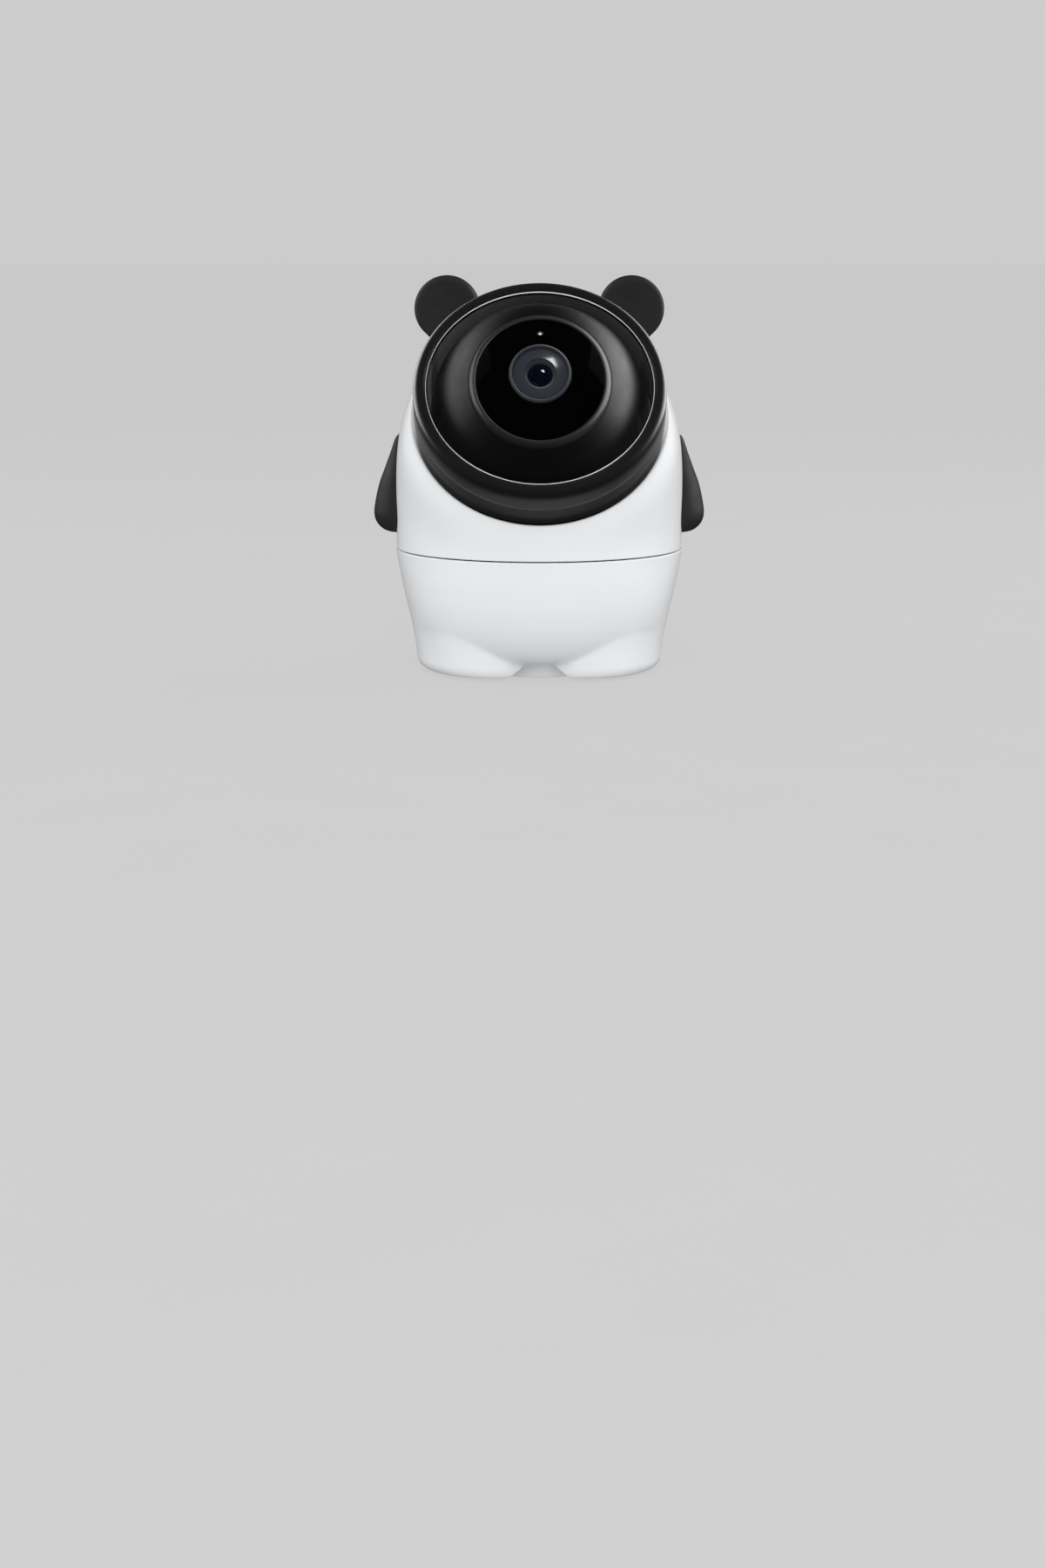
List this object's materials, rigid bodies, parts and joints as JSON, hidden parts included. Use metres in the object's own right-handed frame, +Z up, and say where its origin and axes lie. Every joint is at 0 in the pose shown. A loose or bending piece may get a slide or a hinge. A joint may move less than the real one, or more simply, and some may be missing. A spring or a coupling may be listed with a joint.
{
  "type": "baby monitor camera",
  "caption": "Panda-shaped pan and tilt camera: round white body on small feet, tilted black visor ring around a tilting camera ball, round ears and drop-shaped arms.",
  "frame": {"origin": "middle of the whole object's footprint, on the surface it stands on", "axes": "+Z up, the camera faces -Y, +X to the right of someone who looks at its face; metres"},
  "size_m": [0.0976, 0.0948, 0.1158],
  "materials": {
    "white_shell": "gloss white",
    "black_satin": "satin black",
    "ear_and_arm_grey": "matte dark grey",
    "window_black": "high gloss, infrared-clear black",
    "lens_grey": "satin dark grey",
    "lens_glass": "coated",
    "inner_plastic": "moulded",
    "gear_plastic": "moulded acetal",
    "steel": "plated",
    "brass": "turned",
    "circuit_board": "solder mask",
    "chip_black": "moulded",
    "rubber": "matte",
    "cable_jacket": "matte",
    "led_epoxy": "clear"
  },
  "bodies": {
    "base": {"base_shell": "white_shell", "bottom_cover": "white_shell", "foot_pad": "rubber", "tripod_insert": "brass", "bottom_screw_1": "steel", "bottom_screw_2": "steel", "bottom_screw_3": "steel", "bottom_screw_4": "steel", "pan_deck": "inner_plastic", "pan_bearing": "gear_plastic", "pan_motor": "steel", "pan_motor_screw_1": "steel", "pan_motor_screw_2": "steel", "pan_motor_lead": "cable_jacket", "base_board": "circuit_board", "base_lead": "cable_jacket", "harness_plug": "white_shell", "power_inlet": "steel", "pair_switch": "chip_black"},
    "pair_button": {"pair_button": "white_shell"},
    "pan_pinion": {"pan_pinion": "gear_plastic"},
    "head": {"head_shell": "white_shell", "face_ring": "black_satin", "ear_left": "ear_and_arm_grey", "ear_right": "ear_and_arm_grey", "arm_left": "ear_and_arm_grey", "arm_right": "ear_and_arm_grey", "turntable": "inner_plastic", "pan_gear": "gear_plastic", "pan_retainer": "steel", "head_screw_1": "steel", "head_screw_2": "steel", "yoke_screw_1": "steel", "yoke_screw_2": "steel", "tilt_yoke": "inner_plastic", "tilt_bush_left": "gear_plastic", "tilt_bush_right": "gear_plastic", "tilt_motor": "steel", "motor_strap": "steel", "head_board": "circuit_board", "radio_shield": "steel", "antenna": "circuit_board", "speaker": "chip_black", "head_harness": "cable_jacket"},
    "tilt_pinion": {"tilt_pinion": "gear_plastic"},
    "camera_ball": {"ball_front": "black_satin", "ball_rear": "black_satin", "window": "window_black", "window_bezel": "black_satin", "lens_barrel": "lens_grey", "lens_front_glass": "lens_glass", "lens_holder": "chip_black", "sensor_board": "circuit_board", "sensor_lead": "cable_jacket", "infrared_board": "circuit_board", "light_sensor": "led_epoxy", "ball_cradle": "inner_plastic", "tilt_axle_left": "steel", "tilt_axle_right": "steel", "tilt_gear": "gear_plastic"}
  },
  "joints": [
    {"name": "head_pan", "type": "hinge", "parent": "base", "child": "head", "pos_m": [0, 0.00517, 0.0365], "axis": [0, 0, 1], "range_deg": [-177.5, 177.5]},
    {"name": "ball_tilt", "type": "hinge", "parent": "head", "child": "camera_ball", "pos_m": [0, -0.01535, 0.07646], "axis": [-1, 0, 0], "range_deg": [-20, 40]},
    {"name": "pan_pinion_spin", "type": "hinge", "parent": "base", "child": "pan_pinion", "pos_m": [0, -0.02483, 0.034], "axis": [0, 0, 1], "range_deg": [-711, 711]},
    {"name": "tilt_pinion_spin", "type": "hinge", "parent": "head", "child": "tilt_pinion", "pos_m": [0, -0.0013, 0.06603], "axis": [-1, 0, 0], "range_deg": [-161, 81]},
    {"name": "pair_button_press", "type": "slide", "parent": "base", "child": "pair_button", "axis": [-0.4067, -0.9135, 0], "range_m": [0, 0.0008], "stiffness_N_per_m": 400, "springref_m": -0.0005}
  ],
  "couplings": [
    {"joint": "pan_pinion_spin", "follows": "head_pan", "ratio": -4},
    {"joint": "tilt_pinion_spin", "follows": "ball_tilt", "ratio": -4}
  ]
}
